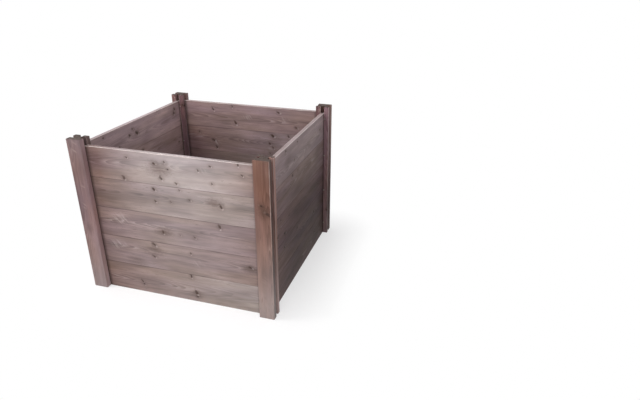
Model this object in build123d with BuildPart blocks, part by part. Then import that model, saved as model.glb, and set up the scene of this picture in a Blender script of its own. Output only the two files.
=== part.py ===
from build123d import *
import os

# Slot-together wooden compost bin: four corner posts with three slots each, and four walls of
# loose boards that drop into the slots. Sizes in millimetres. The origin is on the ground in the
# middle of the bin, +X to the right as seen from the front, +Y to the back and +Z up.

os.makedirs("parts", exist_ok=True)

# Boards: every wall is a stack of the same board
boards_per_wall = 5
board_length = 869.0
board_height = 153.0
board_thickness = 20.0
board_arris = 1.5

# End clips: a plastic block on each board end, held by a web in a saw kerf
clip_reach = 8.0
clip_margin = 28.0
clip_inset = 0.25
clip_edge_radius = 1.5
web_depth = 22.0
web_thickness = 4.0
web_margin = 6.0

# Posts: an outer batten, a core and two inner strips
post_width = 76.0
post_rise = 35.0
batten_thickness = 28.0
strip_thickness = 20.0
core_lap = 8.25
post_arris = 2.0
strip_arris = 1.0

# Countersunk screws through each inner strip and the core into the batten
screws_per_strip = 4
screw_end_distance = 70.0
screw_diameter = 4.0
screw_head_diameter = 8.0
screw_head_land = 0.4
screw_point_length = 6.0
screw_cover = 10.0
recess_depth = 1.4
recess_length = 4.0
recess_width = 1.1

# Clearances
slot_clearance = 0.75
end_clearance = 0.5
kerf_clearance = 0.2
screw_clearance = 0.1

# Heights
wall_height = boards_per_wall * board_height
post_height = wall_height + post_rise

# Plan: the slots are as wide as a board with its clearance, and as far apart as a board is long
slot_width = board_thickness + 2 * slot_clearance
half_run = board_length / 2 + clip_reach + end_clearance
core_width = slot_width + 2 * core_lap
strip_width = (post_width - slot_width) / 2
post_x = half_run + core_width / 2
core_y = half_run + slot_width / 2
batten_y = half_run + slot_width + batten_thickness / 2
strip_y = half_run - strip_thickness / 2

# Screw places: in the middle of the stretch where a strip lies on the core
screw_offset = (slot_width + core_lap) / 2
screw_length = strip_thickness + slot_width + batten_thickness - screw_cover
screw_pitch = (post_height - 2 * screw_end_distance) / (screws_per_strip - 1)
screw_radius = screw_diameter / 2
screw_head_radius = screw_head_diameter / 2
screw_cone_height = screw_head_radius - screw_radius
hole_radius = screw_radius + screw_clearance
sink_radius = screw_head_radius + screw_clearance

# The four posts: name, side along X and side along Y
posts = [
    ("front_left", -1, -1),
    ("front_right", 1, -1),
    ("rear_left", -1, 1),
    ("rear_right", 1, 1),
]

# The four walls: name and upright plane through the middle of the boards, seen from outside
walls = [
    ("front", Plane(origin=(0, -core_y, 0), x_dir=(1, 0, 0), z_dir=(0, -1, 0))),
    ("rear", Plane(origin=(0, core_y, 0), x_dir=(-1, 0, 0), z_dir=(0, 1, 0))),
    ("left", Plane(origin=(-post_x, 0, 0), x_dir=(0, -1, 0), z_dir=(-1, 0, 0))),
    ("right", Plane(origin=(post_x, 0, 0), x_dir=(0, 1, 0), z_dir=(1, 0, 0))),
]


def save(part, name):
    part.label = name
    export_step(part, f"parts/{name}.step")


def screw_planes(side_x, side_y, strip_sides):
    # One plane for each screw: on the strip's inner face, with its normal along the screw
    centre_x = side_x * post_x
    inner_face_y = side_y * (half_run - strip_thickness)
    return [
        Plane(
            origin=(
                centre_x + strip_side * screw_offset,
                inner_face_y,
                screw_end_distance + row * screw_pitch,
            ),
            x_dir=(1, 0, 0),
            z_dir=(0, side_y, 0),
        )
        for strip_side in strip_sides
        for row in range(screws_per_strip)
    ]


def post_piece(centre_x, centre_y, width, depth, arris, holes, countersinks=()):
    # A post piece standing on the ground, with its long arrises taken off and its screw holes
    with BuildPart() as piece:
        with BuildSketch() as section:
            with Locations((centre_x, centre_y)):
                Rectangle(width, depth)
            chamfer(section.vertices(), arris)
        extrude(amount=post_height)
        for plane in holes:
            with BuildSketch(plane):
                Circle(hole_radius)
            extrude(amount=screw_length + screw_clearance, mode=Mode.SUBTRACT)
        for plane in countersinks:
            with BuildSketch(plane):
                Circle(sink_radius)
            extrude(amount=screw_head_land, mode=Mode.SUBTRACT)
            with BuildSketch(plane.offset(screw_head_land)):
                Circle(sink_radius)
            with BuildSketch(plane.offset(screw_head_land + screw_cone_height)):
                Circle(hole_radius)
            loft(mode=Mode.SUBTRACT)
    return piece.part


# One screw, standing on its head: the head's top at the origin and the point along +Z
with BuildPart() as screw:
    with BuildSketch(Plane.XZ):
        with BuildLine():
            Polyline(
                (0, 0),
                (screw_head_radius, 0),
                (screw_head_radius, screw_head_land),
                (screw_radius, screw_head_land + screw_cone_height),
                (screw_radius, screw_length - screw_point_length),
                (0, screw_length),
                close=True,
            )
        make_face()
    revolve(axis=Axis.Z)
    with BuildSketch():
        Rectangle(recess_length, recess_width)
        Rectangle(recess_width, recess_length)
    extrude(amount=recess_depth, mode=Mode.SUBTRACT)

# Corner posts
for post_name, side_x, side_y in posts:
    centre_x = side_x * post_x
    holes = screw_planes(side_x, side_y, (-1, 1))

    outer_batten = post_piece(
        centre_x, side_y * batten_y, post_width, batten_thickness, post_arris, holes
    )
    save(outer_batten, f"{post_name}_post_outer_batten")

    core = post_piece(centre_x, side_y * core_y, core_width, slot_width, strip_arris, holes)
    save(core, f"{post_name}_post_core")

    for strip_name, strip_side in (("left", -1), ("right", 1)):
        strip_x = centre_x + strip_side * (slot_width + strip_width) / 2
        holes_here = screw_planes(side_x, side_y, (strip_side,))
        inner_strip = post_piece(
            strip_x, side_y * strip_y, strip_width, strip_thickness, strip_arris, holes_here, holes_here
        )
        save(inner_strip, f"{post_name}_post_inner_strip_{strip_name}")

    with BuildPart() as screws:
        with Locations(*holes):
            add(screw.part)
    save(screws.part, f"{post_name}_post_screws")

# Walls: five boards on edge, each with a clip on both ends
clip_height = board_height - 2 * clip_margin
clip_thickness = board_thickness - 2 * clip_inset
web_height = clip_height - 2 * web_margin
kerf_depth = web_depth + kerf_clearance
kerf_width = web_thickness + 2 * kerf_clearance
kerf_height = web_height + 2 * kerf_clearance
clip_x = (board_length + clip_reach) / 2
web_x = (board_length - web_depth) / 2
kerf_x = (board_length - kerf_depth) / 2

for wall_name, wall_plane in walls:
    for course in range(boards_per_wall):
        board_z = (course + 0.5) * board_height
        along = wall_plane.x_dir

        with BuildPart() as board:
            with BuildSketch(wall_plane):
                with Locations((0, board_z)):
                    Rectangle(board_length, board_height)
            extrude(amount=board_thickness / 2, both=True)
            chamfer(board.edges().filter_by(Axis((0, 0, 0), along)), board_arris)
            with BuildSketch(wall_plane):
                with Locations((-kerf_x, board_z), (kerf_x, board_z)):
                    Rectangle(kerf_depth, kerf_height)
            extrude(amount=kerf_width / 2, both=True, mode=Mode.SUBTRACT)
        save(board.part, f"{wall_name}_board_{course + 1}")

        with BuildPart() as end_clips:
            with BuildSketch(wall_plane):
                with Locations((-clip_x, board_z), (clip_x, board_z)):
                    Rectangle(clip_reach, clip_height)
            extrude(amount=clip_thickness / 2, both=True)
            end_faces = end_clips.faces().sort_by(Axis((0, 0, 0), along))
            fillet(end_faces[0].edges() + end_faces[-1].edges(), clip_edge_radius)
            with BuildSketch(wall_plane):
                with Locations((-web_x, board_z), (web_x, board_z)):
                    Rectangle(web_depth, web_height)
            extrude(amount=web_thickness / 2, both=True)
        save(end_clips.part, f"{wall_name}_board_{course + 1}_end_clips")
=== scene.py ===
# %% [markdown]
# # Slot-together wooden compost bin
# Four corner posts stand on the ground, and each wall is a stack of five loose boards that drop
# into slots in the posts. The engineering model comes first: it is loaded as a fixed frame, in
# metres, and every piece that is made below sits where one of its solids sits and moves with the
# body that carries it. The box of the solids is kept.

# %% Load the frame
import math
import random

import bpy
from mathutils import Matrix, Quaternion, Vector


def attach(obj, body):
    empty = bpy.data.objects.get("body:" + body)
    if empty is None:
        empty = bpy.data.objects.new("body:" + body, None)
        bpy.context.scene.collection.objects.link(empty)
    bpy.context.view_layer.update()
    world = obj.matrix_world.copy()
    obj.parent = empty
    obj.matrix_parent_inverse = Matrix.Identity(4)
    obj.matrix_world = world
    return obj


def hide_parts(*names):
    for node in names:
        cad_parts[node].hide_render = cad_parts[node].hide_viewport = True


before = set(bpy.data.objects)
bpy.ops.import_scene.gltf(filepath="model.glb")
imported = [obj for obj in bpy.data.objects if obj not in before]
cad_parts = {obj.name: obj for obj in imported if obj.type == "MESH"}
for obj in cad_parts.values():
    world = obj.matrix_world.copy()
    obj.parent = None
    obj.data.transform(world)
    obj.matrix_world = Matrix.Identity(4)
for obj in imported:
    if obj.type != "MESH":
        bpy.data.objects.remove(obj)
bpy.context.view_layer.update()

scene = bpy.context.scene

# %% [markdown]
# ## Camera
# The bin was photographed from its right, from about the eye height of a person who stands. The
# lens and the camera's place were worked out from the corners of the posts, whose sizes are known.
# The picture is 640 by 400 pixels, and the bin stands in its left half, so the camera aims at
# a point beside the bin instead of shifting the lens.

# %% Camera
PICTURE_WIDTH = 640
FOCAL_PIXELS = 520.6
SENSOR_WIDTH = 36.0
eye = Vector((1.262, -2.3594, 1.551))
aim = Vector((0.5764, 0.0, 0.4217))
roll = math.radians(0.489)

camera_data = bpy.data.cameras.new("camera")
camera_data.sensor_fit = "HORIZONTAL"
camera_data.sensor_width = SENSOR_WIDTH
camera_data.lens = SENSOR_WIDTH * FOCAL_PIXELS / PICTURE_WIDTH
camera = bpy.data.objects.new("camera", camera_data)
camera.location = eye
camera.rotation_mode = "QUATERNION"
camera.rotation_quaternion = (aim - eye).to_track_quat("-Z", "Y") @ Quaternion((0, 0, 1), roll)
scene.collection.objects.link(camera)
scene.camera = camera
print("camera: lens", round(camera_data.lens, 2), "mm,", round((aim - eye).length, 2), "m from its aim")

# %% [markdown]
# ## Colours, nodes and meshes
# Colours are written as sRGB hex values, as a colour picker shows them, and shaders count in
# linear light, so one function converts. Another small function adds a node: it sets the node's
# options and plugs values, sockets or whole nodes into its inputs. Everything made of nodes
# below, shaders and geometry alike, is written with it. Two more begin a material and a mesh.

# %% Colour, node and mesh helpers
def linear(hex_colour):
    channels = [int(hex_colour[i:i + 2], 16) / 255 for i in (1, 3, 5)]
    return [c / 12.92 if c <= 0.04045 else ((c + 0.055) / 1.055) ** 2.4 for c in channels] + [1.0]


def plug(tree, node, plugs):
    # Inputs are found by name or by place; a whole node stands for its first output
    for key, value in plugs.items():
        shown = [socket for socket in node.inputs if socket.enabled]
        socket = shown[key] if isinstance(key, int) else next(s for s in shown if s.name == key)
        if isinstance(value, bpy.types.Node):
            value = next(s for s in value.outputs if s.enabled)
        if isinstance(value, bpy.types.NodeSocket):
            tree.links.new(value, socket)
        else:
            socket.default_value = value


def add_node(tree, kind, plugs=None, **options):
    node = tree.nodes.new(kind)
    for option, value in options.items():
        setattr(node, option, value)
    plug(tree, node, plugs or {})
    return node


def new_material(name):
    material = bpy.data.materials.new(name)
    material.use_nodes = True
    return material, material.node_tree, material.node_tree.nodes["Principled BSDF"]


def mesh_object(name, points, faces=()):
    mesh = bpy.data.meshes.new(name)
    mesh.from_pydata(points, [], faces)
    made = bpy.data.objects.new(name, mesh)
    scene.collection.objects.link(made)
    return made


print("a mid stain in linear light:", [round(c, 3) for c in linear("#9a8a87")])

# %% [markdown]
# ## Floor and light
# The bin stands on a plain white sweep under an overcast sky: soft light from all of the sky, most
# of it from above. A large lamp high on the left gives the light its direction, so the left wall
# throws a soft shade into the far corner, and a low lamp in front lifts the front wall. A flag, the
# dark card that a studio uses to hold light off, stands on the right, where no camera sees it, so
# the outer right wall falls into shade towards the ground.
# The camera sees the floor and the world as white, and what bounces off them is weaker.

# %% Rays from the camera
def seen_rays(tree):
    # 1 for rays from the camera, also by way of metal or glass, and 0 for light that bounces
    rays = add_node(tree, "ShaderNodeLightPath").outputs
    seen = rays["Is Camera Ray"]
    for ray in ("Is Glossy Ray", "Is Transmission Ray"):
        seen = add_node(tree, "ShaderNodeMath", {0: seen, 1: rays[ray]}, operation="MAXIMUM")
    return seen


print("white to the camera: the floor and the sky")

# %% Floor
FLOOR_HALF = 12.0
WHITE_FROM, SHADE_EDGE = 0.36, 0.01
GLOW_INSIDE, GLOW_OUTSIDE = 0.1, 0.6

# The middle of the walls, from the middle of the bin
WALL_X, WALL_Y = 0.462, 0.45375

corners = [(x * FLOOR_HALF, y * FLOOR_HALF, 0.0) for x, y in ((-1, -1), (1, -1), (1, 1), (-1, 1))]
floor = mesh_object("floor", corners, [(0, 1, 2, 3)])

# White painted sweep: plain matt white to the eye, with a soft shadow in and round the bin
sweep, tree, _ = new_material("white_painted_sweep")
tree.nodes.clear()
spot = add_node(tree, "ShaderNodeTexCoord").outputs["Object"]
aside = add_node(tree, "ShaderNodeVectorMath", {0: spot}, operation="ABSOLUTE")
aside = add_node(tree, "ShaderNodeVectorMath", {0: aside, 1: (WALL_X, WALL_Y, 0.0)}, operation="SUBTRACT")
aside = add_node(tree, "ShaderNodeVectorMath", {0: aside, 1: (0.0, 0.0, 0.0)}, operation="MAXIMUM")
distance = add_node(tree, "ShaderNodeVectorMath", {0: aside}, operation="LENGTH").outputs["Value"]
far = {"Value": distance, "From Max": WHITE_FROM}
far = add_node(tree, "ShaderNodeMapRange", far, interpolation_type="SMOOTHSTEP")
outside = add_node(tree, "ShaderNodeMapRange", {"Value": distance, "From Max": SHADE_EDGE})
matt = {}
# Inside the bin the floor gives back less light than outside: painted shade of the ground within the walls
for use, inner, outer in (("bounce", "#8f8a86", "#b9b6b3"), ("shadow", "#e6e5e4", "#aeacac")):
    shades = {"Factor": outside, "A": linear(inner), "B": linear(outer)}
    colour = add_node(tree, "ShaderNodeMix", shades, data_type="RGBA")
    matt[use] = add_node(tree, "ShaderNodeBsdfDiffuse", {"Color": colour})
glow = {"Value": outside, "To Min": GLOW_INSIDE, "To Max": GLOW_OUTSIDE}
glow = add_node(tree, "ShaderNodeMapRange", glow)
glow = add_node(tree, "ShaderNodeEmission", {"Color": linear("#ffffff"), "Strength": glow})
near = add_node(tree, "ShaderNodeAddShader", {0: matt["shadow"], 1: glow})
clean = add_node(tree, "ShaderNodeEmission", {"Color": linear("#ffffff"), "Strength": 1.0})
white = add_node(tree, "ShaderNodeMixShader", {0: far, 1: near, 2: clean})
chosen = add_node(tree, "ShaderNodeMixShader", {0: seen_rays(tree), 1: matt["bounce"], 2: white})
add_node(tree, "ShaderNodeOutputMaterial", {"Surface": chosen})
floor.data.materials.append(sweep)
print("floor:", 2 * FLOOR_HALF, "m square")

# %% Sky
HORIZON_LEVEL, ZENITH_LEVEL = 0.36, 1.12
world = bpy.data.worlds.new("overcast_sky")
world.use_nodes = True
scene.world = world
tree = world.node_tree
tree.nodes.clear()
facing = add_node(tree, "ShaderNodeTexCoord").outputs["Generated"]
height = add_node(tree, "ShaderNodeSeparateXYZ", {"Vector": facing}).outputs["Z"]
level = {"Value": height, "To Min": HORIZON_LEVEL, "To Max": ZENITH_LEVEL}
level = add_node(tree, "ShaderNodeMapRange", level)
sky = add_node(tree, "ShaderNodeBackground", {"Color": linear("#fbfcff"), "Strength": level})
backdrop = add_node(tree, "ShaderNodeBackground", {"Color": linear("#ffffff"), "Strength": 1.0})
chosen = add_node(tree, "ShaderNodeMixShader", {0: seen_rays(tree), 1: sky, 2: backdrop})
add_node(tree, "ShaderNodeOutputWorld", {"Surface": chosen})
scene.view_settings.view_transform = "Standard"
print("sky: level", HORIZON_LEVEL, "at the horizon and", ZENITH_LEVEL, "overhead")

# %% Lamps
# Name: place, what it is aimed at, size in metres, power in watts and spread in degrees
LAMPS = {
    "key_lamp": (Vector((-1.83, -1.22, 4.15)), Vector((0.0, 0.0, 0.4)), 1.1, 65.0, 180),
    "front_lamp": (Vector((0.3, -2.9, 1.15)), Vector((0.1, -0.45, 0.66)), 0.8, 2.4, 45),
}
for name, (place, target, size, power, spread) in LAMPS.items():
    lamp_data = bpy.data.lights.new(name, "AREA")
    lamp_data.shape = "DISK"
    lamp_data.size = size
    lamp_data.energy = power
    lamp_data.spread = math.radians(spread)
    lamp = bpy.data.objects.new(name, lamp_data)
    lamp.location = place
    lamp.rotation_mode = "QUATERNION"
    lamp.rotation_quaternion = (target - place).to_track_quat("-Z", "Y")
    lamp.visible_camera = False
    scene.collection.objects.link(lamp)
    print(f"{name}: {power} W, {(target - place).length:.2f} m from its target")

# %% Flag on the right
FLAG_X, FLAG_Y, FLAG_HEIGHT = 0.74, (-0.4, 0.95), 0.54
flag_corners = [(FLAG_X, FLAG_Y[y], z * FLAG_HEIGHT) for y, z in ((1, 0), (0, 0), (0, 1), (1, 1))]
flag = mesh_object("flag", flag_corners, [(0, 1, 2, 3)])
flag.visible_camera = False

# Grey felt: dull, and dark enough to give back little light
felt, tree, shader = new_material("grey_felt")
plug(tree, shader, {"Base Color": linear("#2c2a2a"), "Roughness": 1.0})
flag.data.materials.append(felt)
print("flag:", FLAG_HEIGHT, "m high,", round(FLAG_X - WALL_X, 2), "m from the right wall")

# %% [markdown]
# ## Stained pine
# The boards and posts are planed pine with a thin grey-brown stain, which leaves the grain in
# sight. A flat wood picture would repeat and would not fit the edges and the ends. Here the grain
# is solid, as in a log: every plank carries an attribute that says where each of its points lay in
# the trunk, and the year rings are circles round the trunk's heart. A plank that was sawn a
# little askew to the heart then shows arches on its face, lines on its edge and arcs on its end.
# Further attributes say where the knots nearby lie, which push the rings aside, and how far it is
# to the plank's own edges.

# %% Reading a knot
MM = 0.001
METRE_IN_MM = 1000.0
KNOT_GROUPS = 3
KNOT_REACH, KNOT_STRETCH, KNOT_TAIL = 30.0, 1.5, 3.4
FULL_REACH = 0.3 * KNOT_REACH
TAIL_FADE = {"From Min": 0.6, "From Max": 2.6, "To Min": 1.0, "To Max": 0.25}
CHEEK_OFFSET = 1.1
CRACK_SLANT = 0.45
GIVE_POWER = -2.0


def stored_mm(tree, attribute):
    # A place that the plank carries, turned from metres into mm
    stored = add_node(tree, "ShaderNodeAttribute", attribute_name=attribute).outputs["Vector"]
    return add_node(tree, "ShaderNodeVectorMath", {"Vector": stored, "Scale": METRE_IN_MM}, operation="SCALE")


def read_knot(tree, group):
    # From the middle of the knot to here, in mm along and across the plank, and the knot's nature
    in_mm = stored_mm(tree, f"knot_{group}")
    _, across, radius = add_node(tree, "ShaderNodeSeparateXYZ", {"Vector": in_mm}).outputs
    nature = add_node(tree, "ShaderNodeAttribute", attribute_name=f"knot_{group}_nature").outputs["Vector"]
    turn, dark, _ = add_node(tree, "ShaderNodeSeparateXYZ", {"Vector": nature}).outputs
    offset = add_node(tree, "ShaderNodeVectorMath", {0: in_mm, 1: (1.0, 1.0, 0.0)}, operation="MULTIPLY")
    away = add_node(tree, "ShaderNodeVectorMath", {0: offset}, operation="LENGTH").outputs["Value"]
    near = {"Value": away, "From Min": FULL_REACH, "From Max": KNOT_REACH, "To Min": 1.0, "To Max": 0.0}
    near = add_node(tree, "ShaderNodeMapRange", near, interpolation_type="SMOOTHSTEP")

    # The grain gives way round a knot: a point is read as if it lay nearer to the knot's middle
    squeeze = (1 / KNOT_STRETCH, 1.0, 0.0)
    drawn_in = add_node(tree, "ShaderNodeVectorMath", {0: offset, 1: squeeze}, operation="MULTIPLY")
    ratio = add_node(tree, "ShaderNodeVectorMath", {0: drawn_in}, operation="LENGTH").outputs["Value"]
    ratio = add_node(tree, "ShaderNodeMath", {0: ratio, 1: radius}, operation="DIVIDE")
    outside = add_node(tree, "ShaderNodeMath", {0: ratio, 1: 1.0}, operation="MAXIMUM")
    give = add_node(tree, "ShaderNodeMath", {0: outside, 1: GIVE_POWER}, operation="POWER")
    give = add_node(tree, "ShaderNodeMath", {0: give, 1: near}, operation="MULTIPLY")
    push = add_node(tree, "ShaderNodeMath", {0: across, 1: give}, operation="MULTIPLY")

    # The knot itself: a round end with a tail where the saw met the branch at a slant
    slanted = {"Vector": offset, "Angle": turn}
    slanted = add_node(tree, "ShaderNodeVectorRotate", slanted, rotation_type="Z_AXIS")
    out, side, _ = add_node(tree, "ShaderNodeSeparateXYZ", {"Vector": slanted}).outputs
    tail = add_node(tree, "ShaderNodeMath", {0: out, 1: 0.0}, operation="MAXIMUM")
    short = {0: tail, 1: 1 / KNOT_TAIL - 1, 2: out}
    short = add_node(tree, "ShaderNodeMath", short, operation="MULTIPLY_ADD")
    shape = add_node(tree, "ShaderNodeCombineXYZ", {0: short, 1: side})
    shape = add_node(tree, "ShaderNodeVectorMath", {0: shape}, operation="LENGTH").outputs["Value"]
    shape = add_node(tree, "ShaderNodeMath", {0: shape, 1: radius}, operation="DIVIDE")
    tail = add_node(tree, "ShaderNodeMath", {0: tail, 1: radius}, operation="DIVIDE")
    fade = add_node(tree, "ShaderNodeMapRange", {"Value": tail, **TAIL_FADE})

    # The cheek: a pale spot on the side away from the tail, partly pale wood and partly a painted highlight
    # of the grain raised round the knot
    beside = add_node(tree, "ShaderNodeMath", {0: radius, 1: CHEEK_OFFSET, 2: out}, operation="MULTIPLY_ADD")
    cheek = add_node(tree, "ShaderNodeCombineXYZ", {0: beside, 1: side})
    cheek = add_node(tree, "ShaderNodeVectorMath", {0: cheek}, operation="LENGTH").outputs["Value"]
    cheek = add_node(tree, "ShaderNodeMath", {0: cheek, 1: radius}, operation="DIVIDE")
    slant = add_node(tree, "ShaderNodeMath", {0: out, 1: CRACK_SLANT, 2: side}, operation="MULTIPLY_ADD")
    return {
        "push": push,
        "ratio": ratio,
        "shape": shape,
        "cheek": cheek,
        "dark": dark,
        "slant": slant,
        "branch": add_node(tree, "ShaderNodeMath", {0: fade, 1: dark}, operation="MULTIPLY"),
        "soak": add_node(tree, "ShaderNodeMath", {0: near, 1: dark}, operation="MULTIPLY"),
    }


print("knots are read in", KNOT_GROUPS, "groups and disturb", KNOT_REACH, "mm of wood around them")

# %% Reading the marks of a plank
# Sizes in mm along the trunk, towards the heart and across, and how fine each pattern goes
GRAIN_PATTERNS = {
    "sway": ((380.0, 70.0, 70.0), 1.0),
    "ripple": ((80.0, 14.0, 14.0), 1.0),
    "streak": ((190.0, 10.0, 10.0), 2.0),
    "fibre": ((48.0, 1.3, 1.3), 4.0),
    "split": ((70.0, 1.6, 1.6), 1.0),
    "burl": ((9.0, 7.0, 7.0), 1.0),
    "blotch": ((240.0, 50.0, 50.0), 2.0),
}


def read_marks(tree):
    marks = {}
    for attribute in ("log", "edge"):
        place = stored_mm(tree, attribute)
        axes = add_node(tree, "ShaderNodeSeparateXYZ", {"Vector": place}).outputs
        marks.update({f"{attribute}_{axis}": axes[axis] for axis in "XYZ"})
    for attribute, output in (("tint", "Vector"), ("rub", "Fac"), ("silver", "Fac")):
        marks[attribute] = add_node(tree, "ShaderNodeAttribute", attribute_name=attribute).outputs[output]

    marks["knots"] = [read_knot(tree, group) for group in range(KNOT_GROUPS)]
    across = marks["log_Z"]
    for knot in marks["knots"]:
        across = add_node(tree, "ShaderNodeMath", {0: across, 1: knot["push"]}, operation="SUBTRACT")
    grain = {0: marks["log_X"], 1: marks["log_Y"], 2: across}
    marks["grain"] = add_node(tree, "ShaderNodeCombineXYZ", grain)

    for pattern, (sizes, detail) in GRAIN_PATTERNS.items():
        scaled = add_node(tree, "ShaderNodeVectorMath", {0: marks["grain"], 1: sizes}, operation="DIVIDE")
        noise = add_node(tree, "ShaderNodeTexNoise", {"Vector": scaled, "Scale": 1.0, "Detail": detail})
        marks[pattern] = noise.outputs["Fac"]
    return marks


print("grain patterns:", ", ".join(GRAIN_PATTERNS))

# %% Reading a smudge
SMUDGE_STRETCH, SMUDGE_RAGGED = 1.8, 0.5
SMUDGE_FADE = {"From Min": 0.3, "From Max": 1.2, "To Min": 1.0, "To Max": 0.0}
SCRATCH_SIZE, SCRATCH_TURN = (75.0, 12.0, 1.0), math.radians(52)
SCRATCH_SPAN = {"From Min": 0.46, "From Max": 0.7, "To Max": -0.7}


def read_smudge(tree, marks):
    # A patch where the stain soaked in deeper or, with a negative depth, where it is scratched
    in_mm = stored_mm(tree, "smudge")
    radius = add_node(tree, "ShaderNodeSeparateXYZ", {"Vector": in_mm}).outputs["Z"]
    nature = add_node(tree, "ShaderNodeAttribute", attribute_name="smudge_nature").outputs["Vector"]
    depth = add_node(tree, "ShaderNodeSeparateXYZ", {"Vector": nature}).outputs["X"]
    squeeze = (1 / SMUDGE_STRETCH, 1.0, 0.0)
    away = add_node(tree, "ShaderNodeVectorMath", {0: in_mm, 1: squeeze}, operation="MULTIPLY")
    away = add_node(tree, "ShaderNodeVectorMath", {0: away}, operation="LENGTH").outputs["Value"]
    away = add_node(tree, "ShaderNodeMath", {0: away, 1: radius}, operation="DIVIDE")
    away = {0: marks["burl"], 1: SMUDGE_RAGGED, 2: away}
    away = add_node(tree, "ShaderNodeMath", away, operation="MULTIPLY_ADD")
    reach = {"Value": away, **SMUDGE_FADE}
    reach = add_node(tree, "ShaderNodeMapRange", reach, interpolation_type="SMOOTHSTEP")
    reach = add_node(tree, "ShaderNodeMath", {0: depth, 1: reach}, operation="MULTIPLY")
    marks["soaked"] = add_node(tree, "ShaderNodeMath", {0: reach, 1: 0.0}, operation="MAXIMUM")

    face = add_node(tree, "ShaderNodeCombineXYZ", {0: marks["log_X"], 1: marks["log_Z"]})
    face = {"Vector": face, "Angle": SCRATCH_TURN}
    face = add_node(tree, "ShaderNodeVectorRotate", face, rotation_type="Z_AXIS")
    face = add_node(tree, "ShaderNodeVectorMath", {0: face, 1: SCRATCH_SIZE}, operation="DIVIDE")
    scratch = {"Vector": face, "Scale": 1.0, "Detail": 1.0}
    scratch = add_node(tree, "ShaderNodeTexNoise", scratch).outputs["Fac"]
    scratch = add_node(tree, "ShaderNodeMapRange", {"Value": scratch, **SCRATCH_SPAN})
    scratch = add_node(tree, "ShaderNodeMath", {0: scratch, 1: reach}, operation="MULTIPLY")
    marks["scratched"] = add_node(tree, "ShaderNodeMath", {0: scratch, 1: 0.0}, operation="MAXIMUM")


print("scratches:", SCRATCH_SIZE[0], "mm long and", SCRATCH_SIZE[1], "mm apart")

# %% Year rings
RING_WIDTH = 3.4
SWAY, RIPPLE = 20.0, 2.6
LEAN_YEARS, WEATHER_YEARS = 1.8, 4.0
GROWTH_SPAN = {"From Min": 0.2, "From Max": 0.9}
WINTER_SPAN = {"From Min": 0.92, "To Min": 1.0, "To Max": 0.0}


def year_rings(tree, marks):
    # 0 in soft spring wood, rising to 1 in the hard summer wood at the end of each year
    spread = {0: marks["grain"], 1: (0.0, 1.0, 1.0)}
    spread = add_node(tree, "ShaderNodeVectorMath", spread, operation="MULTIPLY")
    radius = add_node(tree, "ShaderNodeVectorMath", {0: spread}, operation="LENGTH").outputs["Value"]
    marks["from_heart"] = radius
    for pattern, push in (("sway", SWAY), ("ripple", RIPPLE)):
        radius = {0: marks[pattern], 1: push, 2: radius}
        radius = add_node(tree, "ShaderNodeMath", radius, operation="MULTIPLY_ADD")
    turns = add_node(tree, "ShaderNodeMath", {0: radius, 1: RING_WIDTH}, operation="DIVIDE")

    # Lean years lie closer together
    years = add_node(tree, "ShaderNodeMath", {0: turns, 1: WEATHER_YEARS}, operation="DIVIDE")
    weather = {"W": years, "Scale": 1.0, "Detail": 1.0}
    weather = add_node(tree, "ShaderNodeTexNoise", weather, noise_dimensions="1D").outputs["Fac"]
    turns = add_node(tree, "ShaderNodeMath", {0: weather, 1: LEAN_YEARS, 2: turns}, operation="MULTIPLY_ADD")
    season = add_node(tree, "ShaderNodeMath", {0: turns}, operation="FRACT")
    growth, winter = (
        add_node(tree, "ShaderNodeMapRange", {"Value": season, **span}, interpolation_type="SMOOTHSTEP")
        for span in (GROWTH_SPAN, WINTER_SPAN)
    )
    marks["season"] = season
    marks["summer_wood"] = add_node(tree, "ShaderNodeMath", {0: growth, 1: winter}, operation="MULTIPLY")


print("year rings:", RING_WIDTH, "mm apart")

# %% Flat grain over the heart
FLAT_POWER, HEART_LINE_POWER = 6.0, 60.0
BARE_SPAN = {"From Min": 0.05, "From Max": 0.5, "To Min": 1.0, "To Max": 0.0}
FLECKED_SPAN = {"From Min": 0.46, "From Max": 0.62}
FLECK_SHARE = 0.3


def flat_grain(tree, marks):
    # Where a ring lies flat in the face, over the heart, the face drinks more stain
    depth = add_node(tree, "ShaderNodeMath", {0: marks["log_Y"]}, operation="ABSOLUTE")
    level = add_node(tree, "ShaderNodeMath", {0: depth, 1: marks["from_heart"]}, operation="DIVIDE")
    marks["flat_grain"] = add_node(tree, "ShaderNodeMath", {0: level, 1: FLAT_POWER}, operation="POWER")

    # Right over the heart the spring wood comes up in a row of pale flecks, in some places only
    fleck = add_node(tree, "ShaderNodeMath", {0: level, 1: HEART_LINE_POWER}, operation="POWER")
    bare = add_node(tree, "ShaderNodeMapRange", {"Value": marks["season"], **BARE_SPAN})
    here = {"Value": marks["blotch"], **FLECKED_SPAN}
    here = add_node(tree, "ShaderNodeMapRange", here, interpolation_type="SMOOTHSTEP")
    for share in (bare, here, FLECK_SHARE):
        fleck = add_node(tree, "ShaderNodeMath", {0: fleck, 1: share}, operation="MULTIPLY")
    marks["fleck"] = fleck


print("flecks over the heart: up to", FLECK_SHARE, "of bare wood")

# %% Tone of the stain
NOISE_SPAN = {"From Min": 0.3, "From Max": 0.7}
HUE_SPAN = {"From Min": 0.35, "From Max": 0.65}
TONE_WEIGHTS = {"streak": 1.05, "fibre": 0.35, "flat_grain": 0.1}
TONE_START, RING_SHARE, ARCH_SHARE = -0.42, 0.16, 0.2

# Slow changes: the pattern that each follows, and its least and greatest value
SWINGS = {
    "patch": ("blotch", 0.78, 1.2),
    "warmth": ("sway", 0.9, 1.15),
    "grey_patchiness": ("blotch", 0.75, 1.25),
    "drawn": ("streak", 0.55, 1.25),
    "uneven": ("streak", 0.15, 0.6),
}


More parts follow.
